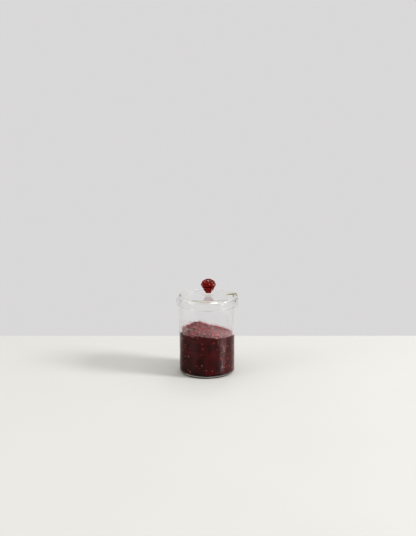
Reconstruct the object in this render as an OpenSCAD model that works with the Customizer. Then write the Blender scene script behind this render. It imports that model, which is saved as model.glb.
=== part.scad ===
// Lidded glass jam jar: a straight jar, part filled with berry jam, under a loose
// glass lid with a hanging skirt, a slot for a spoon handle and a berry knob.
// Millimetres, +Z up. The origin is the middle of the underside of the jar, and
// the spoon slot opens towards +X.

/* [Jar] */
// Outside diameter of the jar
jar_d = 81.5; // [60:0.5:120]
// Height of the jar without its lid
jar_h = 114; // [90:1:180]
// Thickness of the jar's wall
jar_wall = 2.4; // [2:0.1:4]
// Thickness of the jar's floor
jar_floor = 4.2; // [2:0.1:8]
// Rounding outside, where the wall turns under the floor
jar_corner = 5; // [3:0.5:12]
// Rounding inside, where the wall meets the floor
well_corner = 4; // [2:0.5:10]
// How much thicker than the wall the melted bead along the rim is
rim_bead = 0.6; // [0.2:0.1:1.5]

/* [Jam] */
// Mean height of the jam's surface above the table
jam_level = 60.1; // [45:0.5:75]
// Fall of the surface towards the spoon slot, in mm for each mm
jam_fall = 0.07; // [0:0.01:0.15]
// Height of the biggest lump on the surface
jam_lump = 4.5; // [0:0.1:8]
// Depth of the small waves all over the surface
jam_wave = 0.45; // [0:0.05:1]
// Distance from one small wave to the next
jam_wave_pitch = 11; // [6:0.5:20]
// Clearance between the jam and the glass
jam_fit = 0.1; // [0.05:0.05:0.3]

/* [Lid] */
// Thickness of the lid's plate, which lies on the rim
plate_t = 3; // [2:0.1:6]
// Thickness of the skirt round the plate
skirt_wall = 2.8; // [2:0.1:5]
// Clearance between the jar's wall and the skirt
skirt_gap = 2.4; // [1.4:0.1:6]
// How far the skirt hangs below the top of the rim
skirt_drop = 11.7; // [6:0.1:25]
// Rounding outside, where the plate turns down into the skirt
lid_corner = 5; // [3.5:0.5:6]
// How far the loose lid lies off the jar's axis, towards +X
lid_shift = 0.8; // [0:0.1:1]

/* [Spoon slot] */
// Width of the slot through the plate and the skirt
slot_w = 12; // [7:0.5:16]
// How far the slot reaches in from the inside of the jar's wall
slot_reach = 12.1; // [7:0.1:14]

/* [Knob] */
// Diameter of the berry at its widest
berry_d = 22; // [17:0.5:26]
// Height of the berry
berry_h = 21.2; // [18:0.1:26]
// Height above its seat at which the berry is widest
berry_waist_h = 12.4; // [10:0.1:14]
// How much narrower the berry is at its seat than at its widest, as a part of 1
berry_taper = 0.66; // [0.55:0.01:0.74]
// Diameter of one small bead of the berry
bead_d = 5.8; // [5:0.1:6.5]
// Distance from one bead of the berry to the next in its ring
bead_pitch = 4.4; // [4:0.1:5]
// Height of the clear stem between the lid and the berry
stem_h = 2.3; // [1.5:0.1:8]
// Diameter of the stem under the berry
stem_d = 7; // [6:0.1:10]
// Diameter of the stem's foot on the lid
stem_foot_d = 19; // [12:0.1:24]
// Height of the edge of the stem's foot
stem_foot_edge = 0.4; // [0.2:0.1:1]
// How far the knob stands off the middle of the lid, towards +X
knob_shift = 1.2; // [0:0.1:3]

/* [Hidden] */

$fn = 96;
// Overrun of a cutting tool past the face that it cuts
over = 1;

jar_r = jar_d / 2;
well_r = jar_r - jar_wall;
bead_r = bead_d / 2;

plate_top = jar_h + plate_t;
skirt_inner_r = jar_r + skirt_gap;
lid_r = skirt_inner_r + skirt_wall;
skirt_bottom = jar_h - skirt_drop;
slot_end_x = well_r - slot_reach;
knob_x = lid_shift + knob_shift;

// The berry's seat, on top of the stem
seat_z = plate_top + stem_h;

// Jam: sides round the axis, rings across the surface and steps up the corner
jam_sides = 72;
jam_rings = 12;
jam_corner_steps = 5;
jam_r = well_r - jam_fit;
jam_floor_z = jar_floor + jam_fit;
// The lumps that stand up from the surface, each with its direction round the jar,
// its distance from the axis and its width as parts of the jam's radius, and its
// height as a part of the biggest lump's
jam_lumps = [
    [112, 0.95, 0.36, 1.00],
    [265, 0.92, 0.30, 0.66],
    [231, 0.85, 0.28, -0.32],
    [333, 0.90, 0.30, 0.26],
    [40, 0.85, 0.40, -0.22],
    [172, 0.62, 0.32, 0.18],
    [88, 0.97, 0.26, -0.25]
];

// Rings of beads on the berry: under the waist, and from over it to the crown.
// A ring's place is below 0 under the waist, 0 at the waist and 1 at the crown
low_rings = 3;
high_rings = 3;
first_ring = -0.78;
// Power of the curve that narrows the berry under its waist
taper_power = 1.15;
// How far the beads' own middles reach past the core, as a part of their radius
core_inset = 0.25;
// Steps of the curve from the stem to its foot
flare_steps = 8;

function lump_height(x, y, l) =
    let (dx = x - l[1] * jam_r * cos(l[0]), dy = y - l[1] * jam_r * sin(l[0]))
    jam_lump * l[3] * exp(-(dx * dx + dy * dy) / pow(l[2] * jam_r, 2));

function wave(x, y) =
    let (turn = 360 / jam_wave_pitch)
    jam_wave * (sin(turn * (x + 0.4 * y)) * cos(turn * (0.8 * y - 0.3 * x))
        + 0.5 * sin(turn * 1.7 * (y - 0.6 * x)));

function sum(v, i = 0) = i < len(v) ? v[i] + sum(v, i + 1) : 0;

// Height of the jam's surface over the table
function jam_surface(x, y) =
    jam_level - jam_fall * x + wave(x, y)
        + sum([for (l = jam_lumps) lump_height(x, y, l)]);

function on_ring(r, side) =
    let (a = side * 360 / jam_sides)
    [r * cos(a), r * sin(a)];

function floor_ring(step) =
    let (
        a = step * 90 / jam_corner_steps,
        c = well_corner,
        r = jam_r - c + c * sin(a),
        z = jam_floor_z + c * (1 - cos(a))
    )
    [for (s = [0 : jam_sides - 1]) [on_ring(r, s).x, on_ring(r, s).y, z]];

function surface_ring(ring) =
    let (r = jam_r * (1 - ring / jam_rings))
    [for (s = [0 : jam_sides - 1])
        let (p = on_ring(r, s))
        [p.x, p.y, jam_surface(p.x, p.y)]];

// Radius of the berry's outside at a height above its seat, up to the waist
function berry_r(z) =
    let (t = max(0, 1 - z / berry_waist_h))
    berry_d / 2 * (1 - berry_taper * pow(t, taper_power));

// Distance from the axis and height of the middles of a ring of beads
function ring_place(k) =
    let (s = k < low_rings ? first_ring * (1 - k / low_rings) : (k - low_rings) / high_rings)
    s < 0
        ? let (z = berry_waist_h * (1 + s)) [berry_r(z) - bead_r, z]
        : [(berry_d / 2 - bead_r) * cos(90 * s),
           berry_waist_h + (berry_h - bead_r - berry_waist_h) * sin(90 * s)];

// Half outline of a disc with its lower corner rounded
module rounded_half(r, h, corner) {
    square([r - corner, h]);
    translate([0, corner]) square([r, h - corner]);
    translate([r - corner, corner]) circle(corner);
}

module jar() {
    lip_r = (jar_wall + rim_bead) / 2;
    color("azure", 0.35)
    rotate_extrude() {
        difference() {
            rounded_half(jar_r, jar_h - lip_r, jar_corner);
            translate([0, jar_floor]) rounded_half(well_r, jar_h, well_corner);
        }
        translate([jar_r - jar_wall / 2, jar_h - lip_r]) circle(lip_r);
    }
}

module jam() {
    rings = concat(
        [for (k = [0 : jam_corner_steps]) floor_ring(k)],
        [for (k = [0 : jam_rings - 1]) surface_ring(k)]
    );
    count = len(rings);
    points = concat(
        [for (ring = rings) each ring],
        [[0, 0, jam_floor_z], [0, 0, jam_surface(0, 0)]]
    );
    floor_middle = count * jam_sides;
    surface_middle = floor_middle + 1;
    last = (count - 1) * jam_sides;
    faces = concat(
        [for (k = [0 : count - 2], s = [0 : jam_sides - 1])
            let (a = k * jam_sides + s, b = k * jam_sides + (s + 1) % jam_sides)
            each [[a, a + jam_sides, b + jam_sides], [a, b + jam_sides, b]]],
        [for (s = [0 : jam_sides - 1]) [floor_middle, s, (s + 1) % jam_sides]],
        [for (s = [0 : jam_sides - 1])
            [surface_middle, last + (s + 1) % jam_sides, last + s]]
    );
    color([0.25, 0.03, 0.06])
    polyhedron(points = points, faces = faces, convexity = 4);
}

// Plate and skirt, with a slot cut in from the edge
module lid_shell() {
    difference() {
        translate([lid_shift, 0, plate_top])
        mirror([0, 0, 1])
        rotate_extrude() {
            edge_r = skirt_wall / 2;
            difference() {
                rounded_half(lid_r, plate_top - skirt_bottom - edge_r, lid_corner);
                translate([0, plate_t])
                    rounded_half(skirt_inner_r, jar_h, lid_corner - skirt_wall);
            }
            translate([lid_r - edge_r, plate_top - skirt_bottom - edge_r])
                circle(edge_r);
        }
        spoon_slot();
    }
}

module spoon_slot() {
    depth = plate_top - skirt_bottom + 2 * over;
    translate([slot_end_x + slot_w / 2, 0, skirt_bottom - over]) {
        cylinder(h = depth, d = slot_w);
        translate([0, -slot_w / 2, 0]) cube([lid_r, slot_w, depth]);
    }
}

// Half outline of the stem's flare, from its foot's edge up to the stem
function flare() =
    [for (k = [0 : flare_steps])
        let (t = k / flare_steps, share = 1 - sqrt(1 - pow(1 - t, 2)))
        [(stem_d + (stem_foot_d - stem_d) * share) / 2,
         stem_foot_edge + (stem_h - stem_foot_edge) * t]];

// Clear stem under the berry, which flares into a foot on the plate
module stem() {
    translate([knob_x, 0, plate_top])
    rotate_extrude()
    polygon(concat([[0, 0], [stem_foot_d / 2, 0]], flare(), [[0, stem_h]]));
}

module lid() {
    color("lightcyan", 0.35) {
        lid_shell();
        stem();
    }
}

module bead_ring(k) {
    place = ring_place(k);
    count = max(1, round(2 * PI * place[0] / bead_pitch));
    for (b = [0 : count - 1])
        rotate([0, 0, (b + ((k + low_rings) % 2) / 2) * 360 / count])
        translate([place[0], 0, place[1]])
        sphere(d = bead_d);
}

module berry_knob() {
    core_r = berry_d / 2 - bead_r * (1 + core_inset);
    color([0.45, 0.05, 0.06])
    translate([knob_x, 0, seat_z])
    difference() {
        union() {
            cylinder(h = berry_waist_h, r1 = stem_d / 2, r2 = core_r);
            translate([0, 0, berry_waist_h]) sphere(core_r);
            for (k = [0 : low_rings + high_rings]) bead_ring(k);
        }
        translate([0, 0, -bead_d]) cylinder(h = bead_d, r = berry_d);
    }
}

jar();
jam();
lid();
berry_knob();
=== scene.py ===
"""Finishes a lidded glass jam jar: its blown glass, the berry jam and its pips, the
berry knob, and the pale table and soft light that it stands in."""

import math

import bmesh
import bpy
from bpy.props import FloatProperty, FloatVectorProperty, IntProperty, PointerProperty
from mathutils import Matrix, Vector, noise
from mathutils.bvhtree import BVHTree


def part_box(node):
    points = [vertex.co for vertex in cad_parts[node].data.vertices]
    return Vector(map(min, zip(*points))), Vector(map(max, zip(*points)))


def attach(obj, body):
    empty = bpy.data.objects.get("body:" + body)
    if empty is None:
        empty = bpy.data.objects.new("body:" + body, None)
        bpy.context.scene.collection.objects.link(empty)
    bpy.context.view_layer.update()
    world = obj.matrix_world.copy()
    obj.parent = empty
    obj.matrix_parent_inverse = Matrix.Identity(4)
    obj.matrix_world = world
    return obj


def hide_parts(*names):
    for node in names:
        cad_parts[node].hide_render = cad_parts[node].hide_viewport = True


bl_info = {
    "name": "Jam Jar",
    "version": (1, 0, 0),
    "blender": (4, 5, 0),
    "location": "View3D > Sidebar > Jam Jar",
    "description": "Glass, jam, pips and berry knob of a lidded jam jar",
    "category": "Object",
}

MM = 0.001
TAU = 2 * math.pi

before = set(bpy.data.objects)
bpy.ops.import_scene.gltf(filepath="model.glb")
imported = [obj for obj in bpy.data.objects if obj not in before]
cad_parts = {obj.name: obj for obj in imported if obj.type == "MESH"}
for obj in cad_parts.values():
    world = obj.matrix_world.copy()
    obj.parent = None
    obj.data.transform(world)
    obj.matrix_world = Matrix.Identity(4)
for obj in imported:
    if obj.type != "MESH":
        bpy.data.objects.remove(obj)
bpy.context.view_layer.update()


# ---------------------------------------------------------------- settings


def length(name, description, millimetres, low=0.0):
    return FloatProperty(name=name, description=description, default=millimetres * MM,
                         min=low * MM, unit="LENGTH", subtype="DISTANCE", precision=5)


def factor(name, description, default, high=1.0):
    return FloatProperty(name=name, description=description, default=default,
                         min=0.0, max=high, subtype="FACTOR")


def colour(name, description, default):
    return FloatVectorProperty(name=name, description=description, default=default,
                               size=3, min=0.0, max=1.0, subtype="COLOR")


class GlassSettings(bpy.types.PropertyGroup):
    """Sizes and tint of the blown glass."""
    wall: length("Wall", "Thickness of the jar's wall", 2.4)
    floor: length("Floor", "Thickness of the jar's floor", 4.2)
    foot_round: length("Foot rounding", "Outside rounding at the foot", 5)
    well_round: length("Well rounding", "Inside rounding at the floor", 4)
    rim_bead: length("Rim bead", "How much thicker than the wall the rim is", 0.6)
    plate: length("Plate", "Thickness of the lid's plate", 3)
    skirt: length("Skirt", "Thickness of the lid's skirt", 2.8)
    shoulder: length("Shoulder", "Rounding from plate to skirt", 5)
    slot_width: length("Slot width", "Width of the spoon slot", 12)
    slot_end: length("Slot end", "Distance from the axis to the slot's end", 26.25)
    stem_width: length("Stem width", "Diameter of the stem under the berry", 7)
    stem_foot: length("Stem foot", "Diameter of the stem's foot", 19)
    stem_edge: length("Stem edge", "Height of the edge of the stem's foot", 0.4)
    tint: colour("Tint", "Colour that thick glass takes", (0.66, 0.68, 0.40))
    ground: colour("Ground", "Colour of the ground edge of the slot", (0.82, 0.82, 0.62))
    jar_density: FloatProperty(name="Jar density", description="Strength of the jar's tint",
                               default=3.0, min=0.0)
    lid_density: FloatProperty(name="Lid density", description="Strength of the lid's tint",
                               default=3.5, min=0.0)


class JamSettings(bpy.types.PropertyGroup):
    """Surface and colours of the jam."""
    sink: length("Sink", "How far the jam reaches into the glass", 0.15)
    lump_size: length("Lump size", "Size of the soft pieces of fruit", 9)
    lump_height: length("Lump height", "Height of the soft pieces of fruit", 5)
    fold_height: length("Fold height", "Height of the small folds of the surface", 1.6)
    dark: colour("Dark", "Colour of the deep jam", (0.045, 0.0015, 0.003))
    red: colour("Red", "Colour of thin, lit jam", (0.16, 0.006, 0.014))
    film_height: length("Film height", "How high the smear on the glass reaches", 4)
    film_thickness: length("Film thickness", "Thickness of the smear at its foot", 0.24)
    film: colour("Film", "Colour of the thin smear on the glass", (0.95, 0.10, 0.14))
    pips_per_cm2: FloatProperty(name="Pips", description="Pips on each square centimetre",
                                default=0.55, min=0.0)
    pip_length: length("Pip length", "Length of one pip", 2.6)
    pip_colour: colour("Pip colour", "Colour of the pips", (0.85, 0.20, 0.09))
    seed: IntProperty(name="Seed", description="Seed of the lumps and the pips", default=7)


class BerrySettings(bpy.types.PropertyGroup):
    """Beads and colour of the berry knob."""
    bead: length("Bead", "Diameter of one bead", 5.8)
    pitch: length("Pitch", "Distance between beads in a ring", 4.4)
    waist: length("Waist", "Height at which the berry is widest", 12.4)
    taper: factor("Taper", "How much narrower the berry is at its seat", 0.66)
    low_rings: IntProperty(name="Low rings", description="Rings of beads under the waist",
                           default=3, min=1)
    high_rings: IntProperty(name="High rings", description="Rings of beads over the waist",
                            default=3, min=1)
    glass: colour("Glass", "Colour of the red glass", (0.45, 0.025, 0.012))


class StageSettings(bpy.types.PropertyGroup):
    """Camera, lights, table and wall."""
    distance: length("Distance", "From the camera to the jar's axis", 1346)
    height: length("Height", "Height of the camera over the table", 445)
    pitch: FloatProperty(name="Pitch", description="How far the camera looks down",
                         default=math.radians(12.1), subtype="ANGLE")
    lens: FloatProperty(name="Lens", description="Focal length in millimetres", default=63.4)
    table_back: length("Table back", "From the jar's axis to the table's far edge", 185)
    table: colour("Table", "Colour of the table", (0.585, 0.58, 0.555))
    wall: colour("Wall", "Colour of the wall behind", (0.69, 0.68, 0.685))
    room: colour("Room", "Colour of the room in front", (0.55, 0.55, 0.54))
    ceiling: colour("Ceiling", "Colour of the light from above", (1.0, 0.99, 0.97))
    card: FloatProperty(name="Card", description="Strength of the white card at the right",
                        default=2.3, min=0.0)


# ------------------------------------------------------------------- nodes


class Wire:
    """The output of a node, so that sums of outputs add Math nodes."""

    def __init__(self, graph, socket):
        self.graph = graph
        self.socket = socket

    def maths(self, operation, first, second):
        return self.graph.node("ShaderNodeMath", {"operation": operation},
                               {0: first, 1: second})

    def __add__(self, other):
        return self.maths("ADD", self, other)

    __radd__ = __add__

    def __sub__(self, other):
        return self.maths("SUBTRACT", self, other)

    def __rsub__(self, other):
        return self.maths("SUBTRACT", other, self)

    def __mul__(self, other):
        return self.maths("MULTIPLY", self, other)

    __rmul__ = __mul__

    def __truediv__(self, other):
        return self.maths("DIVIDE", self, other)


class Graph:
    """A shader or geometry tree that nodes are added to."""

    def __init__(self, tree):
        self.tree = tree
        tree.nodes.clear()

    def node(self, kind, settings=None, inputs=None, output=0):
        """Adds a node, with its settings first, then its inputs' values or wires."""
        made = self.tree.nodes.new(kind)
        for key, value in (settings or {}).items():
            if key == "stops":
                self.set_stops(made.color_ramp, value)
            else:
                setattr(made, key, value)
        for key, value in (inputs or {}).items():
            if isinstance(value, Wire):
                self.tree.links.new(value.socket, made.inputs[key])
            else:
                made.inputs[key].default_value = value
        return Wire(self, made.outputs[output]) if len(made.outputs) else None

    @staticmethod
    def set_stops(ramp, stops):
        while len(ramp.elements) < len(stops):
            ramp.elements.new(1.0)
        for element, (place, shade) in zip(ramp.elements, stops):
            element.position = place
            element.color = shade if len(shade) == 4 else (*shade, 1.0)

    def output(self, wire, name):
        """The same node's output of another name."""
        return Wire(self, wire.socket.node.outputs[name])


def new_material(name):
    material = bpy.data.materials.new(name)
    material.use_nodes = True
    return material, Graph(material.node_tree)


def object_place(graph, scale=1.0):
    """Object coordinates in millimetres, stretched by a scale."""
    place = graph.node("ShaderNodeTexCoord", output=3)
    return graph.node("ShaderNodeVectorMath", {"operation": "SCALE"},
                      {"Vector": place, "Scale": scale / MM})


def noise_of(graph, place, scale, detail=3.0, roughness=0.5):
    return graph.node("ShaderNodeTexNoise", inputs={
        "Vector": place, "Scale": scale, "Detail": detail, "Roughness": roughness})


def ramp(graph, value, *stops):
    return graph.node("ShaderNodeValToRGB", {"stops": stops}, {"Fac": value})


def bump(graph, height, distance, strength):
    return graph.node("ShaderNodeBump", inputs={
        "Strength": strength, "Distance": distance, "Height": height})


def smooth_step(graph, value, start, end):
    """0 at the start, 1 at the end and a soft curve between them."""
    return graph.node("ShaderNodeMapRange", {"interpolation_type": "SMOOTHSTEP"}, {
        "Value": value, "From Min": start, "From Max": end})


def mix_colours(graph, share, first, second):
    """The first colour where the share is 0, and the second where it is 1."""
    return graph.node("ShaderNodeMix", {"data_type": "RGBA"},
                      {"Factor": share, 6: first, 7: second}, output=2)


def finish_surface(graph, volume=None, **sockets):
    """Adds the Principled shader, with its sockets by name, and the output."""
    shader = graph.node("ShaderNodeBsdfPrincipled",
                        inputs={key.replace("_", " "): value for key, value in sockets.items()})
    ends = {"Surface": shader}
    if volume is not None:
        ends["Volume"] = volume
    graph.node("ShaderNodeOutputMaterial", inputs=ends)


def clear_glass(name, tint, density, shade=(1.0, 1.0, 1.0), ground=0.0):
    """Blown glass: clear, faintly wavy, and tinted where it is thick. Where it is ground
    it is rough and part matt."""
    material, graph = new_material(name)
    place = object_place(graph)
    waves = noise_of(graph, place, 0.045, detail=1.0)
    specks = noise_of(graph, place, 0.9, detail=4.0)
    volume = graph.node("ShaderNodeVolumeAbsorption",
                        inputs={"Color": (*tint, 1.0), "Density": density})
    finish_surface(
        graph, volume,
        Base_Color=ramp(graph, specks, (0.3, tuple(0.97 * c for c in shade)),
                        (0.7, tuple(shade))),
        Roughness=ground + specks * 0.012,
        IOR=1.47,
        Transmission_Weight=1.0 - ground,
        Specular_Tint=(0.5, 0.5, 0.5, 1.0),
        Normal=bump(graph, waves, 0.5 * MM, 0.35),
    )
    return material


def berry_glass(settings):
    """Deep red glass, darker in the middle of the berry than at its edges."""
    material, graph = new_material("berry_glass")
    place = object_place(graph)
    clouds = noise_of(graph, place, 0.16, detail=2.0)
    volume = graph.node("ShaderNodeVolumeAbsorption",
                        inputs={"Color": (0.80, 0.10, 0.05, 1.0), "Density": 110.0})
    finish_surface(
        graph, volume,
        Base_Color=ramp(graph, clouds, (0.35, tuple(0.55 * c for c in settings.glass)),
                        (0.65, tuple(settings.glass))),
        Roughness=0.03 + 0.05 * clouds,
        IOR=1.5,
        Transmission_Weight=0.85,
        Normal=bump(graph, noise_of(graph, place, 0.5), 0.1 * MM, 0.3),
    )
    return material


def jam_material(name, settings, specular, base_roughness, painted_lit_gain=1.0, grain=0.3, **more):
    """Wet dark jam, redder in its thin places. A gain over 1 paints a lighter copy of both
    colours, as painted light and sheen.
    """
    material, graph = new_material(name)
    # Both colours are scaled by the gain: above 1 this is painted light, not the jam's own
    # colour
    dark, red = (tuple(painted_lit_gain * c for c in shade) for shade in (settings.dark, settings.red))
    place = object_place(graph)
    clouds = noise_of(graph, place, 0.09, detail=5.0, roughness=0.6)
    pulp = noise_of(graph, place, 0.7, detail=4.0, roughness=0.6)
    middle = tuple(0.5 * a + 0.5 * b for a, b in zip(dark, red))
    finish_surface(
        graph,
        Base_Color=ramp(graph, clouds, (0.36, dark), (0.55, middle), (0.72, red)),
        Roughness=base_roughness + 0.12 * pulp,
        IOR=1.4,
        Specular_IOR_Level=specular,
        Normal=bump(graph, pulp, 0.5 * MM, grain),
        **more,
    )
    return material


def film_material(settings):
    """Thin clear jam, which only tints what shows through it."""
    material, graph = new_material("jam_film")
    cloud = noise_of(graph, object_place(graph), 0.5, detail=3.0)
    volume = graph.node("ShaderNodeVolumeAbsorption",
                        inputs={"Color": (*settings.film, 1.0), "Density": 1900.0})
    finish_surface(
        graph, volume,
        Base_Color=ramp(graph, cloud, (0.3, (1.0, 0.9, 0.92)), (0.7, (1.0, 1.0, 1.0))),
        Roughness=0.05 + 0.1 * cloud,
        IOR=1.36,
        Transmission_Weight=1.0,
        Normal=bump(graph, cloud, 0.1 * MM, 0.4),
    )
    return material


def pip_material(settings):
    """Orange, crimson and pale pips with a jam-wet gloss."""
    material, graph = new_material("pip")
    tone = noise_of(graph, object_place(graph), 0.16, detail=2.0)
    pale = tuple(0.5 + 0.5 * c for c in settings.pip_colour)
    deep = (0.75 * settings.pip_colour[0], 0.1 * settings.pip_colour[1],
            0.3 * settings.pip_colour[2])
    finish_surface(
        graph,
        Base_Color=ramp(graph, tone, (0.42, deep), (0.48, tuple(settings.pip_colour)),
                        (0.55, tuple(settings.pip_colour)), (0.62, pale)),
        Roughness=0.35 + 0.1 * tone,
        Normal=bump(graph, noise_of(graph, object_place(graph), 2.5), 0.1 * MM, 0.4),
    )
    return material


def table_material(settings):
    """Pale matt table with the faintest mottling."""
    material, graph = new_material("table")
    tone = noise_of(graph, object_place(graph), 0.006, detail=6.0)
    finish_surface(
        graph,
        Base_Color=ramp(graph, tone, (0.3, tuple(0.98 * c for c in settings.table)),
                        (0.7, tuple(settings.table))),
        Roughness=0.75 + 0.1 * tone,
        Specular_IOR_Level=0.15,
    )
    return material


# ------------------------------------------------------------------ meshes


def arc(centre_r, centre_z, radius, start, end, steps):
    """Points (r, z) along an arc, with its angles in degrees."""
    angles = [math.radians(start + (end - start) * k / steps) for k in range(steps + 1)]
    return [(centre_r + radius * math.cos(a), centre_z + radius * math.sin(a)) for a in angles]


def add_ring(bm, radius, z, sides, middle=0.0):
    return [bm.verts.new((middle + radius * math.cos(TAU * s / sides),
                          radius * math.sin(TAU * s / sides), z)) for s in range(sides)]


def join_rings(bm, first, second):
    count = len(first)
    for s in range(count):
        t = (s + 1) % count
        bm.faces.new((first[s], first[t], second[t], second[s]))


def close_ring(bm, ring, z, middle=0.0):
    """Closes a ring with a fan to a point on the axis."""
    centre = bm.verts.new((middle, 0.0, z))
    for s in range(len(ring)):
        bm.faces.new((ring[s], ring[(s + 1) % len(ring)], centre))


def lathe(outline, sides):
    """A closed solid turned from an outline that starts and ends on the axis."""
    bm = bmesh.new()
    rings = [add_ring(bm, r, z, sides) for r, z in outline[1:-1]]
    for first, second in zip(rings, rings[1:]):
        join_rings(bm, first, second)
    close_ring(bm, rings[0], outline[0][1])
    close_ring(bm, rings[-1], outline[-1][1])
    return bm


def to_object(name, bm, *materials):
    """Turns a bmesh into a smooth object at the origin, with outward faces."""
    bmesh.ops.recalc_face_normals(bm, faces=bm.faces)
    mesh = bpy.data.meshes.new(name)
    bm.to_mesh(mesh)
    bm.free()
    mesh.shade_smooth()
    for material in materials:
        mesh.materials.append(material)
    made = bpy.data.objects.new(name, mesh)
    bpy.context.scene.collection.objects.link(made)
    return made


def add_modifier(target, kind, **settings):
    modifier = target.modifiers.new(kind.lower(), kind)
    for key, value in settings.items():
        setattr(modifier, key, value)
    return modifier


def bake_modifiers(target):
    """Replaces an object's mesh with what its modifiers make of it."""
    evaluated = target.evaluated_get(bpy.context.evaluated_depsgraph_get())
    old = target.data
    mesh = bpy.data.meshes.new_from_object(evaluated)
    target.modifiers.clear()
    target.data = mesh
    mesh.name = target.name
    bpy.data.meshes.remove(old)
    mesh.shade_smooth()


def hand_over(piece, node):
    """Puts a piece on the frame in place of a node."""
    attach(piece, "root")
    if node:
        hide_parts(node)


# --------------------------------------------------------------- operators


class JAMJAR_OT_jar(bpy.types.Operator):
    """Blow the jar: straight wall, rounded foot and melted rim"""
    bl_idname = "jamjar.make_jar"
    bl_label = "Make Jar"

    sides = 192
    corner_steps = 10
    # Rise of the underside towards its middle
    push_up = 0.5 * MM
    # Where the melted rim starts and ends, in degrees round its own middle
    rim_turn = (-32, 212)

    def execute(self, context):
        glass = context.scene.jamjar_glass
        low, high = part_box("jar")
        outer = (high.y - low.y) / 2 - glass.rim_bead / 2
        inner = outer - glass.wall
        lip = (glass.wall + glass.rim_bead) / 2
        foot, well = glass.foot_round, glass.well_round
        rim_z = high.z - lip
        outline = [(0.0, low.z + self.push_up)]
        outline += [(share * (outer - foot), low.z + self.push_up * (1 - share ** 3))
                    for share in (0.25, 0.5, 0.75, 0.9)]
        outline += arc(outer - foot, low.z + foot, foot, -90, 0, self.corner_steps)
        outline += self.wall(outer, low.z + foot, rim_z - 2 * lip)
        outline += arc(outer - glass.wall / 2, rim_z, lip, *self.rim_turn,
                       2 * self.corner_steps)
        outline += self.wall(inner, rim_z - 2 * lip, low.z + glass.floor + well)
        outline += arc(inner - well, low.z + glass.floor + well, well, 0, -90,
                       self.corner_steps)
        outline += [(share * (inner - well), low.z + glass.floor)
                    for share in (0.75, 0.5, 0.25)]
        outline += [(0.0, low.z + glass.floor)]
        jar = to_object("jar_glass", lathe(outline, self.sides),
                        clear_glass("jar_glass", glass.tint, glass.jar_density))
        hand_over(jar, "jar")
        return {"FINISHED"}

    @staticmethod
    def wall(radius, start, end, steps=12):
        """Points up or down a straight wall, past its first one."""
        return [(radius, start + (end - start) * k / steps) for k in range(1, steps + 1)]


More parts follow.
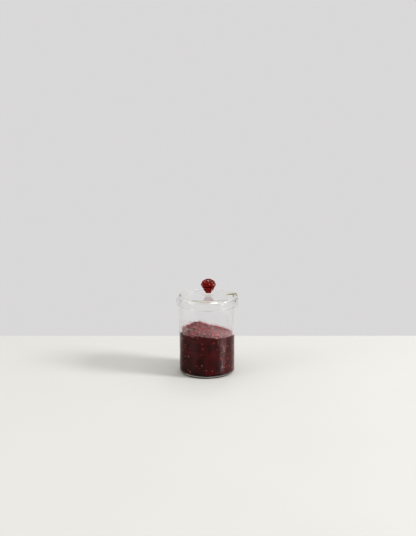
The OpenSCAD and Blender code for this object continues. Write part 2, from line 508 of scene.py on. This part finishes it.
class JAMJAR_OT_lid(bpy.types.Operator):
    """Blow the lid: plate, skirt, spoon slot and the stem of the knob"""
    bl_idname = "jamjar.make_lid"
    bl_label = "Make Lid"

    # Spokes on each side of the slot in the cage that Subdivision Surface rounds
    spokes = 18
    # How rough and matt the slot's cut faces are
    ground = 0.4
    plate_shares = (0.0, 0.05, 0.15, 0.3, 0.5, 0.7)
    flare_shares = (0.9, 0.7, 0.45, 0.22, 0.08, 0.0)
    # The cage's turn from a face to the next: its ends and the two points between them,
    # outside as shares of the shoulder's rounding, and inside as lengths
    shoulder_turn = (0.88, 0.42, 0.11)
    hollow_turn = (2.6 * MM, 1.0 * MM, 0.15 * MM)
    # Crease round the stem's foot, and the ring that keeps the plate flat outside it
    foot_crease = 0.1 * MM
    foot_hold = 1.5 * MM
    # How far down the lid the ring lies that keeps the skirt straight, as a share of 1
    skirt_hold = 0.62

    def execute(self, context):
        glass = context.scene.jamjar_glass
        outline, first, last = self.outline(glass)
        bm = bmesh.new()
        rings = [self.ring(bm, glass, point, first < k < last, k in (first, last))
                 for k, point in enumerate(outline)]
        for ring, after in zip(rings, rings[1:]):
            self.join(bm, ring, after)
        for ring, (_, z, middle) in ((rings[0], outline[0]), (rings[-1], outline[-1])):
            close_ring(bm, ring, z, middle)
        self.close_slot(bm, rings[first:last + 1])
        lid = to_object("lid_glass", bm,
                        clear_glass("lid_glass", glass.tint, glass.lid_density),
                        clear_glass("slot_glass", glass.tint, glass.lid_density,
                                    glass.ground, self.ground))
        add_modifier(lid, "SUBSURF", levels=3, render_levels=3)
        bake_modifiers(lid)
        hand_over(lid, "lid")
        return {"FINISHED"}

    def outline(self, glass):
        """Points (r, z, middle) from the stem's top over the skirt to the underside,
        with the numbers of the two rings at the slot's end."""
        low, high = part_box("lid")
        berry_low, berry_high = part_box("berry_knob")
        middle = (berry_low.x + berry_high.x) / 2
        radius = (high.y - low.y) / 2
        shift = low.x + radius
        self.end = glass.slot_end - shift
        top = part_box("jar")[1].z + glass.plate
        under = top - glass.plate
        inner = radius - glass.skirt
        foot = glass.stem_foot / 2
        plate_rs = [self.end + share * (radius - self.end) for share in self.plate_shares]
        turn = [share * glass.shoulder for share in self.shoulder_turn]
        outer = self.turn_down(radius, top, *turn) + self.skirt(glass, radius, top, low.z, -1)
        inside = (self.turn_down(inner, under, *self.hollow_turn)
                  + self.skirt(glass, inner, top, low.z, 1))
        points = [(r, z, middle) for r, z in self.stem(glass, top, high.z)]
        points += [(0.4 * self.end + 0.6 * foot, top, 0.4 * shift + 0.6 * middle),
                   (0.8 * self.end, top, shift)]
        first = len(points)
        points += [(r, top, shift) for r in plate_rs]
        points += [(r, z, shift) for r, z in outer]
        points += [(r, z, shift) for r, z in reversed(inside)]
        points += [(r, under, shift) for r in reversed(plate_rs)]
        last = len(points) - 1
        points += [(0.8 * self.end, under, shift), (0.4 * self.end, under, shift)]
        return points, first, last

    def stem(self, glass, top, stem_top):
        """Points (r, z) from the stem's top down its flare and out onto the plate."""
        stem, foot = glass.stem_width / 2, glass.stem_foot / 2
        rise = stem_top - top - glass.stem_edge
        flare = [(stem + (foot - stem) * (1 - math.sqrt(1 - (1 - share) ** 2)),
                  top + glass.stem_edge + rise * share) for share in self.flare_shares]
        return [(0.45 * stem, stem_top), (0.85 * stem, stem_top), (stem, stem_top), *flare,
                (foot + self.foot_crease, top), (foot + self.foot_hold, top)]

    @staticmethod
    def turn_down(r, z, far, near, close):
        """Points (r, z) round the corner from a flat plate to an upright skirt."""
        return [(r - far, z), (r - near, z - close), (r - close, z - near), (r, z - far)]

    def skirt(self, glass, r, top, bottom, side):
        """Points (r, z) down one face of the skirt and round its melted edge."""
        edge = glass.skirt / 2
        return [(r, top - self.skirt_hold * (top - bottom)), (r, bottom + 1.2 * edge),
                (r + side * 0.25 * edge, bottom + 0.2 * edge),
                (r + side * 0.8 * edge, bottom)]

    def ring(self, bm, glass, point, is_open, at_end):
        """A ring's vertices, from the slot's +Y side round to its -Y side. A ring that
        the slot doesn't cut has one more, on the slot's own line. The cage stands out by
        the swell, because the subdivision pulls it in."""
        radius, z, middle = point
        half = glass.slot_width / 2
        straight = self.end + half
        near = Vector((straight - half * math.sqrt(0.5), half * math.sqrt(0.5)))
        if is_open:
            reach = max(radius, math.hypot(straight, half))
            edge_r, edge = reach, math.asin(half / reach)
        else:
            edge_r, edge = (near.length if at_end else radius), math.atan2(near.y, near.x)
        swell = 3 / (2 + math.cos(math.pi / self.spokes))
        verts = []
        for k in range(-self.spokes, self.spokes + 1):
            side = 1 if k <= 0 else -1
            share = 1 - abs(k) / self.spokes
            angle = edge + (math.pi - edge) * share
            r = edge_r if share == 0 else radius * swell
            verts.append(bm.verts.new(
                (middle + r * math.cos(angle), side * r * math.sin(angle), z)))
        if not is_open:
            verts.append(bm.verts.new((middle + radius, 0.0, z)))
        return verts

    def join(self, bm, ring, after):
        sides = 2 * self.spokes
        whole = len(ring) > sides + 1 and len(after) > sides + 1
        for k in range(sides + (2 if whole else 0)):
            n = (k + 1) % len(ring)
            bm.faces.new((ring[k], ring[n], after[n], after[k]))

    def close_slot(self, bm, rings):
        """Walls of the slot, from the plate's top to its underside and down the skirt."""
        sides = 2 * self.spokes
        half = len(rings) // 2
        for k in range(half):
            a, b = rings[k], rings[-1 - k]
            if k == 0:
                for s, t in ((sides, sides + 1), (sides + 1, 0)):
                    bm.faces.new((a[s], a[t], b[t], b[s])).material_index = 1
            if k < half - 1:
                c, d = rings[k + 1], rings[-2 - k]
                for s in (0, sides):
                    bm.faces.new((a[s], c[s], d[s], b[s])).material_index = 1


class JAMJAR_OT_jam(bpy.types.Operator):
    """Fill the jar with lumpy jam up to the level of the CAD solid"""
    bl_idname = "jamjar.make_jam"
    bl_label = "Make Jam"

    sides = 360
    rings = 96
    corner_steps = 8
    wall_steps = 30
    floor_shares = (0.2, 0.45, 0.7)
    # The CAD surface is read a little inside its own edge
    read_share = 0.995
    # How often and how far the pattern of lumps is warped, and folds on each lump
    warp_rate = 0.7
    warp_reach = 0.5
    folds_per_lump = 2.6
    # The lumps' height at the middle and at its least, as shares of 1, and the distance
    # towards the slot over which they die out
    lumps_middle = 0.6
    lumps_least = 0.2
    lumps_fade = 40 * MM
    # The jam creeps up the glass in a band in which its lumps are flatter
    creep_width = 4 * MM
    creep_height = 0.7 * MM
    creep_calm = 0.6
    # The smear on the glass starts under the surface, ends thin and clears the glass
    film_steps = 5
    film_sink = 0.5 * MM
    film_end = 0.02 * MM
    film_gap = 0.01 * MM

    def execute(self, context):
        jam = context.scene.jamjar_jam
        glass = context.scene.jamjar_glass
        # Unseeded, noise vectors differ from run to run
        noise.seed_set(jam.seed)
        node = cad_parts["jam"]
        self.tree = BVHTree.FromObject(node, context.evaluated_depsgraph_get())
        low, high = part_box("jar")
        well = (high.y - low.y) / 2 - glass.rim_bead / 2 - glass.wall
        self.jam = jam
        self.safe_r = (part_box("jam")[1].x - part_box("jam")[0].x) / 2 * self.read_share
        self.radius = well + jam.sink
        self.add_body(low.z + glass.floor - jam.sink, glass.well_round)
        self.add_film(jam, well)
        return {"FINISHED"}

    def add_body(self, base, corner):
        """Fills the well from its floor up to the uneven surface."""
        jam = self.jam
        bm = bmesh.new()
        under = [add_ring(bm, share * (self.radius - corner), base, self.sides)
                 for share in self.floor_shares]
        under += [add_ring(bm, r, z, self.sides) for r, z in arc(
            self.radius - corner, base + corner, corner, -90, 0, self.corner_steps)]
        edge = self.surface_ring(bm, self.radius)
        walls = []
        for k in range(1, self.wall_steps):
            share = k / self.wall_steps
            walls.append([bm.verts.new(a.co.lerp(b.co, share))
                          for a, b in zip(under[-1], edge)])
        top = [self.surface_ring(bm, self.radius * (1 - k / self.rings))
               for k in range(1, self.rings)]
        close_ring(bm, under[0], base)
        lower = under + walls + [edge]
        for first, second in zip(lower, lower[1:]):
            join_rings(bm, first, second)
        side_faces = len(bm.faces)
        upper = [edge] + top
        for first, second in zip(upper, upper[1:]):
            join_rings(bm, first, second)
        close_ring(bm, top[-1], self.height(0.0, 0.0))
        bm.faces.ensure_lookup_table()
        for face in bm.faces[side_faces:]:
            face.material_index = 1
        # The top's jam_surface copy is painted 2.2 times lighter than the side's: painted light
        # and sheen on the jam's top
        piece = to_object("jam_body", bm,
                          jam_material("jam_at_glass", jam, 1.0, 0.35, Anisotropic=1.0,
                                       Anisotropic_Rotation=0.25),
                          jam_material("jam_surface", jam, 1.0, 0.02, painted_lit_gain=2.2, grain=0.12,
                                       Coat_Weight=0.6))
        hand_over(piece, "jam")

    def add_film(self, jam, well):
        """Lays the smear that the jam leaves on the glass above its edge."""
        bm = bmesh.new()
        rings = [[] for _ in range(2 * self.film_steps + 2)]
        for s in range(self.sides):
            way = Vector((math.cos(TAU * s / self.sides), math.sin(TAU * s / self.sides), 0.0))
            foot = self.height(self.radius * way.x, self.radius * way.y) - self.film_sink
            ragged = 0.5 + 0.5 * noise.noise(way * 6) + 0.35 * noise.noise(way * 19)
            tall = self.film_sink + jam.film_height * max(0.1, min(1.0, ragged))
            for k, ring in enumerate(rings):
                outside = k > self.film_steps
                share = (2 * self.film_steps + 1 - k if outside else k) / self.film_steps
                thick = jam.film_thickness * math.sqrt(1.02 - share) + self.film_end
                place = way * (well - (self.film_gap if outside else thick))
                place.z = foot + tall * share
                ring.append(bm.verts.new(place))
        for first, second in zip(rings, rings[1:] + rings[:1]):
            join_rings(bm, first, second)
        film = to_object("jam_film", bm, film_material(jam))
        hand_over(film, None)

    def surface_ring(self, bm, radius):
        verts = []
        for s in range(self.sides):
            x = radius * math.cos(TAU * s / self.sides)
            y = radius * math.sin(TAU * s / self.sides)
            verts.append(bm.verts.new((x, y, self.height(x, y))))
        return verts

    def height(self, x, y):
        """Height of the jam's surface: the CAD solid's, with soft pieces of fruit."""
        jam = self.jam
        r = math.hypot(x, y)
        hold = min(1.0, self.safe_r / r) if r > 0 else 1.0
        hit = self.tree.ray_cast(Vector((x * hold, y * hold, 1.0)), Vector((0, 0, -1)))
        place = Vector((x, y, 0.0)) / jam.lump_size
        warp = noise.noise_vector(place * self.warp_rate) * self.warp_reach
        lump = self.mound(place + warp)
        fold = self.mound(place * self.folds_per_lump + warp)
        rough = min(1.0, max(self.lumps_least, self.lumps_middle - x / self.lumps_fade))
        near = max(0.0, 1 - (self.radius - r) / self.creep_width)
        return (hit[0].z + self.creep_height * near * near
                + rough * (1 - self.creep_calm * near)
                * (jam.lump_height * lump + jam.fold_height * fold))

    @staticmethod
    def mound(place):
        """Round mounds with valleys between them, some above the mean and some below."""
        return 0.4 - 1.6 * noise.voronoi(place)[0][0] ** 2


class JAMJAR_OT_pips(bpy.types.Operator):
    """Scatter pips through the skin of the jam"""
    bl_idname = "jamjar.scatter_pips"
    bl_label = "Scatter Pips"

    # Length, width and thickness of the smallest and the biggest pip, as shares of the
    # pip length, and how far a pip tips, in radians
    smallest = (0.6, 0.45, 0.3)
    biggest = (1.0, 0.7, 0.5)
    tip = 0.3

    def execute(self, context):
        jam = context.scene.jamjar_jam
        body = bpy.data.objects["jam_body"]
        host = bpy.data.objects.new("jam_pips", body.data.copy())
        context.scene.collection.objects.link(host)
        tree, sockets = self.tree()
        modifier = host.modifiers.new("scatter", "NODES")
        modifier.node_group = tree
        cm2_per_m2 = 1e4
        for name, value in (("Density", jam.pips_per_cm2 * cm2_per_m2),
                            ("Length", jam.pip_length),
                            ("Seed", jam.seed), ("Finish", pip_material(jam))):
            modifier[sockets[name]] = value
        bake_modifiers(host)
        hand_over(host, None)
        return {"FINISHED"}

    def tree(self):
        """Geometry Nodes that lay pips on a surface, half sunk in it."""
        group = bpy.data.node_groups.new("pip_scatter", "GeometryNodeTree")
        graph = Graph(group)
        face = group.interface
        sockets = {"Surface": face.new_socket("Surface", in_out="INPUT",
                                              socket_type="NodeSocketGeometry")}
        for name, kind in (("Density", "NodeSocketFloat"), ("Length", "NodeSocketFloat"),
                           ("Seed", "NodeSocketInt"), ("Finish", "NodeSocketMaterial")):
            sockets[name] = face.new_socket(name, in_out="INPUT", socket_type=kind).identifier
        face.new_socket("Pips", in_out="OUTPUT", socket_type="NodeSocketGeometry")
        surface = graph.node("NodeGroupInput")
        density, long, seed, finish = (graph.output(surface, name) for name in
                                       ("Density", "Length", "Seed", "Finish"))
        points = graph.node("GeometryNodeDistributePointsOnFaces", inputs={
            "Mesh": surface, "Density": density, "Seed": seed})
        facing = graph.output(points, "Rotation")
        spin = graph.node("FunctionNodeRandomValue", {"data_type": "FLOAT_VECTOR"},
                          {0: (-self.tip, -self.tip, 0.0), 1: (self.tip, self.tip, TAU),
                           "Seed": seed})
        turn = graph.node("FunctionNodeRotateRotation", {"rotation_space": "LOCAL"}, {
            "Rotation": facing,
            "Rotate By": graph.node("FunctionNodeEulerToRotation", inputs={0: spin})})
        size = graph.node("FunctionNodeRandomValue", {"data_type": "FLOAT_VECTOR"},
                          {0: self.smallest, 1: self.biggest, "Seed": seed})
        shape = graph.node("GeometryNodeMeshUVSphere",
                           inputs={"Segments": 10, "Rings": 6, "Radius": 0.5})
        scale = graph.node("ShaderNodeVectorMath", {"operation": "SCALE"},
                           {"Vector": size, "Scale": long})
        pips = graph.node("GeometryNodeInstanceOnPoints", inputs={
            "Points": points, "Instance": shape, "Rotation": turn, "Scale": scale})
        solid = graph.node("GeometryNodeRealizeInstances", inputs={0: pips})
        painted = graph.node("GeometryNodeSetMaterial", inputs={
            "Geometry": solid, "Material": finish})
        graph.node("NodeGroupOutput", inputs={0: painted})
        return group, sockets


class JAMJAR_OT_berry(bpy.types.Operator):
    """Shape the berry knob from rings of melted beads"""
    bl_idname = "jamjar.make_berry"
    bl_label = "Make Berry"

    # Place of the lowest ring of beads: -1 is the seat, 0 the waist and 1 the crown
    first_ring = -0.78
    taper_power = 1.15
    # How deep the body lies under the beads' outside, over and under the waist, in bead
    # radii, and its least radius
    crown_depth = 1.25
    side_depth = 1.1
    core_least = 2.2 * MM
    core_steps = 6
    crown_steps = 8
    crown_end = 80
    core_sides = 48
    # Grid that melts the beads together
    voxel = 0.22 * MM

    def execute(self, context):
        berry = context.scene.jamjar_berry
        low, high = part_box("berry_knob")
        self.berry = berry
        self.bead_r = berry.bead / 2
        self.radius = (high.y - low.y) / 2
        self.tall = high.z - low.z
        middle = (low.x + high.x) / 2
        points = bmesh.new()
        for k in range(berry.low_rings + berry.high_rings + 1):
            self.add_beads(points, k, middle, low.z)
        host = to_object("berry", points)
        tree, sockets = self.tree()
        modifier = host.modifiers.new("beads", "NODES")
        modifier.node_group = tree
        finish = berry_glass(berry)
        modifier[sockets["Bead"]] = berry.bead
        modifier[sockets["Finish"]] = finish
        bake_modifiers(host)
        self.add_core(host, middle, low.z)
        add_modifier(host, "REMESH", mode="VOXEL", voxel_size=self.voxel,
                     use_smooth_shade=True)
        add_modifier(host, "SMOOTH", factor=0.5, iterations=2)
        bake_modifiers(host)
        host.data.materials.clear()
        host.data.materials.append(finish)
        hand_over(host, "berry_knob")
        return {"FINISHED"}

    def outside(self, z):
        """Radius of the berry below its waist."""
        share = max(0.0, 1 - z / self.berry.waist)
        return self.radius * (1 - self.berry.taper * share ** self.taper_power)

    def add_beads(self, bm, k, middle, seat):
        low, waist = self.berry.low_rings, self.berry.waist
        place = (k - low) / (-low / self.first_ring if k < low else self.berry.high_rings)
        if place < 0:
            z = waist * (1 + place)
            r = self.outside(z) - self.bead_r
        else:
            angle = place * math.pi / 2
            r = (self.radius - self.bead_r) * math.cos(angle)
            z = waist + (self.tall - self.bead_r - waist) * math.sin(angle)
        count = max(1, round(TAU * r / self.berry.pitch))
        for b in range(count):
            angle = (b + ((k + low) % 2) / 2) * TAU / count
            bm.verts.new((middle + r * math.cos(angle), r * math.sin(angle), seat + z))

    def add_core(self, host, middle, seat):
        """Adds the body that the beads stand on, and the flat seat under it."""
        waist = self.berry.waist
        core = self.radius - self.crown_depth * self.bead_r
        bm = bmesh.new()
        bm.from_mesh(host.data)
        for vert in bm.verts:
            vert.co.z = max(vert.co.z, seat)
        levels = [waist * k / self.core_steps for k in range(self.core_steps)]
        profile = [(self.outside(z) - self.side_depth * self.bead_r, seat + z)
                   for z in levels]
        profile += arc(0.0, seat + waist, core, 0, self.crown_end, self.crown_steps)
        turned = lathe([(0.0, seat), *((max(r, self.core_least), z) for r, z in profile),
                        (0.0, seat + waist + core)], self.core_sides)
        for vert in turned.verts:
            vert.co.x += middle
        scratch = bpy.data.meshes.new("berry_core")
        turned.to_mesh(scratch)
        turned.free()
        bm.from_mesh(scratch)
        bpy.data.meshes.remove(scratch)
        bmesh.ops.recalc_face_normals(bm, faces=bm.faces)
        bm.to_mesh(host.data)
        bm.free()

    def tree(self):
        """Geometry Nodes that put a glass bead on every point."""
        group = bpy.data.node_groups.new("berry_beads", "GeometryNodeTree")
        graph = Graph(group)
        face = group.interface
        face.new_socket("Points", in_out="INPUT", socket_type="NodeSocketGeometry")
        sockets = {}
        for name, kind in (("Bead", "NodeSocketFloat"), ("Finish", "NodeSocketMaterial")):
            sockets[name] = face.new_socket(name, in_out="INPUT", socket_type=kind).identifier
        face.new_socket("Berry", in_out="OUTPUT", socket_type="NodeSocketGeometry")
        points = graph.node("NodeGroupInput")
        bead = graph.output(points, "Bead")
        ball = graph.node("GeometryNodeMeshUVSphere", inputs={
            "Segments": 32, "Rings": 20, "Radius": bead * 0.5})
        beads = graph.node("GeometryNodeInstanceOnPoints", inputs={
            "Points": points, "Instance": ball})
        solid = graph.node("GeometryNodeRealizeInstances", inputs={0: beads})
        painted = graph.node("GeometryNodeSetMaterial", inputs={
            "Geometry": solid, "Material": graph.output(points, "Finish")})
        graph.node("NodeGroupOutput", inputs={0: painted})
        return group, sockets


class JAMJAR_OT_stage(bpy.types.Operator):
    """Set the table, the wall's and room's light, the lamps and the camera"""
    bl_idname = "jamjar.set_stage"
    bl_label = "Set Stage"

    table_reach = 1.6
    # Glass in glass needs many bounces before the light is out again
    bounces = 32
    aim_height = 60 * MM
    camera_side = 1.4 * MM
    # Points of the tone curve that darken what is near black
    tone_curve = ((0.04, 0.009), (0.09, 0.048), (0.2, 0.15), (0.38, 0.37))
    # Where the lit parts of the room start and where they are at full strength, as a
    # direction's share along an axis
    wall_side = (0.72, 0.42)
    wall_front = (-0.5, 0.5)
    ceiling_edge = (0.35, 0.8)
    card_side = (0.76, 0.9)
    card_edges = (("Y", (0.05, -0.1)), ("Y", (-0.65, -0.5)),
                  ("Z", (-0.15, 0.0)), ("Z", (0.45, 0.3)))

    def execute(self, context):
        stage = context.scene.jamjar_stage
        self.add_table(stage)
        self.light_room(context.scene, stage)
        self.add_lamp(context, "key", azimuth=74, elevation=32, distance=3.0,
                      width=0.7, height=0.9, power=72.0)
        self.add_lamp(context, "fill", azimuth=-62, elevation=35, distance=1.5,
                      width=0.5, height=0.5, power=3.0)
        self.add_lamp(context, "top", azimuth=165, elevation=60, distance=2.0,
                      width=0.3, height=0.3, power=3.0)
        self.add_camera(context, stage)
        context.scene.view_settings.view_transform = "Standard"
        self.deepen_blacks(context.scene.view_settings)
        context.scene.cycles.max_bounces = self.bounces
        context.scene.cycles.transmission_bounces = self.bounces
        context.scene.cycles.glossy_bounces = self.bounces
        return {"FINISHED"}

    def add_table(self, stage):
        reach, back = self.table_reach, stage.table_back
        bm = bmesh.new()
        corners = ((-reach, -reach), (reach, -reach), (reach, back), (-reach, back))
        bm.faces.new([bm.verts.new((x, y, 0.0)) for x, y in corners])
        to_object("table", bm, table_material(stage))

    def deepen_blacks(self, view):
        """Bends the tone curve down near black, as a studio print does."""
        view.use_curve_mapping = True
        # The curve for all colours comes after those for red, green and blue
        curve = view.curve_mapping.curves[3]
        for place, value in self.tone_curve:
            curve.points.new(place, value)
        view.curve_mapping.update()

    def light_room(self, scene, stage):
        """A pale wall behind the jar, a dimmer room in front of it, light from above and
        a white card at the right."""
        world = bpy.data.worlds.new("studio")
        world.use_nodes = True
        scene.world = world
        graph = Graph(world.node_tree)
        way = graph.node("ShaderNodeSeparateXYZ", inputs={0: graph.node("ShaderNodeTexCoord")})
        side = graph.node("ShaderNodeMath", {"operation": "ABSOLUTE"}, {0: way})
        behind = (smooth_step(graph, side, *self.wall_side)
                  * smooth_step(graph, graph.output(way, "Y"), *self.wall_front))
        above = smooth_step(graph, graph.output(way, "Z"), *self.ceiling_edge)
        card = smooth_step(graph, way, *self.card_side)
        for axis, edge in self.card_edges:
            card = card * smooth_step(graph, graph.output(way, axis), *edge)
        walls = mix_colours(graph, behind, (*stage.room, 1.0), (*stage.wall, 1.0))
        room = mix_colours(graph, above, walls, (*stage.ceiling, 1.0))
        whole = mix_colours(graph, card, room, (stage.card, stage.card, stage.card, 1.0))
        light = graph.node("ShaderNodeBackground", inputs={"Color": whole})
        graph.node("ShaderNodeOutputWorld", inputs={"Surface": light})

    def add_lamp(self, context, name, azimuth, elevation, distance, width, height, power):
        """A soft square lamp that looks at the jar. Azimuth 0 is in front of it."""
        a, e = math.radians(azimuth), math.radians(elevation)
        aim = Vector((0.0, 0.0, self.aim_height))
        way = Vector((math.sin(a) * math.cos(e), -math.cos(a) * math.cos(e), math.sin(e)))
        lamp = bpy.data.lights.new(name, "AREA")
        lamp.shape = "RECTANGLE"
        lamp.size = width
        lamp.size_y = height
        lamp.energy = power
        made = bpy.data.objects.new(name, lamp)
        made.location = aim + way * distance
        made.rotation_euler = way.to_track_quat("Z", "Y").to_euler()
        context.scene.collection.objects.link(made)

    def add_camera(self, context, stage):
        lens = bpy.data.cameras.new("camera")
        lens.lens = stage.lens
        made = bpy.data.objects.new("camera", lens)
        made.location = (self.camera_side, -stage.distance, stage.height)
        made.rotation_euler = (math.pi / 2 - stage.pitch, 0.0, 0.0)
        context.scene.collection.objects.link(made)
        context.scene.camera = made


class JAMJAR_PT_sidebar(bpy.types.Panel):
    """Lists the jar's settings and its steps"""
    bl_idname = "JAMJAR_PT_sidebar"
    bl_label = "Jam Jar"
    bl_space_type = "VIEW_3D"
    bl_region_type = "UI"
    bl_category = "Jam Jar"

    def draw(self, context):
        for group, operators in STEPS:
            settings = getattr(context.scene, group)
            box = self.layout.box()
            for name in settings.__annotations__:
                box.prop(settings, name)
            for operator in operators:
                box.operator(operator.bl_idname)


SETTINGS = {
    "jamjar_stage": StageSettings,
    "jamjar_glass": GlassSettings,
    "jamjar_jam": JamSettings,
    "jamjar_berry": BerrySettings,
}
STEPS = (
    ("jamjar_stage", (JAMJAR_OT_stage,)),
    ("jamjar_glass", (JAMJAR_OT_jar, JAMJAR_OT_lid)),
    ("jamjar_jam", (JAMJAR_OT_jam, JAMJAR_OT_pips)),
    ("jamjar_berry", (JAMJAR_OT_berry,)),
)
CLASSES = (*SETTINGS.values(), *(step for _, steps in STEPS for step in steps),
           JAMJAR_PT_sidebar)


def register():
    for cls in CLASSES:
        bpy.utils.register_class(cls)
    for name, group in SETTINGS.items():
        setattr(bpy.types.Scene, name, PointerProperty(type=group))


def unregister():
    for name in SETTINGS:
        delattr(bpy.types.Scene, name)
    for cls in reversed(CLASSES):
        bpy.utils.unregister_class(cls)


def main():
    register()
    bpy.ops.jamjar.set_stage()
    bpy.ops.jamjar.make_jar()
    bpy.ops.jamjar.make_lid()
    bpy.ops.jamjar.make_jam()
    bpy.ops.jamjar.scatter_pips()
    bpy.ops.jamjar.make_berry()


if __name__ == "__main__":
    main()
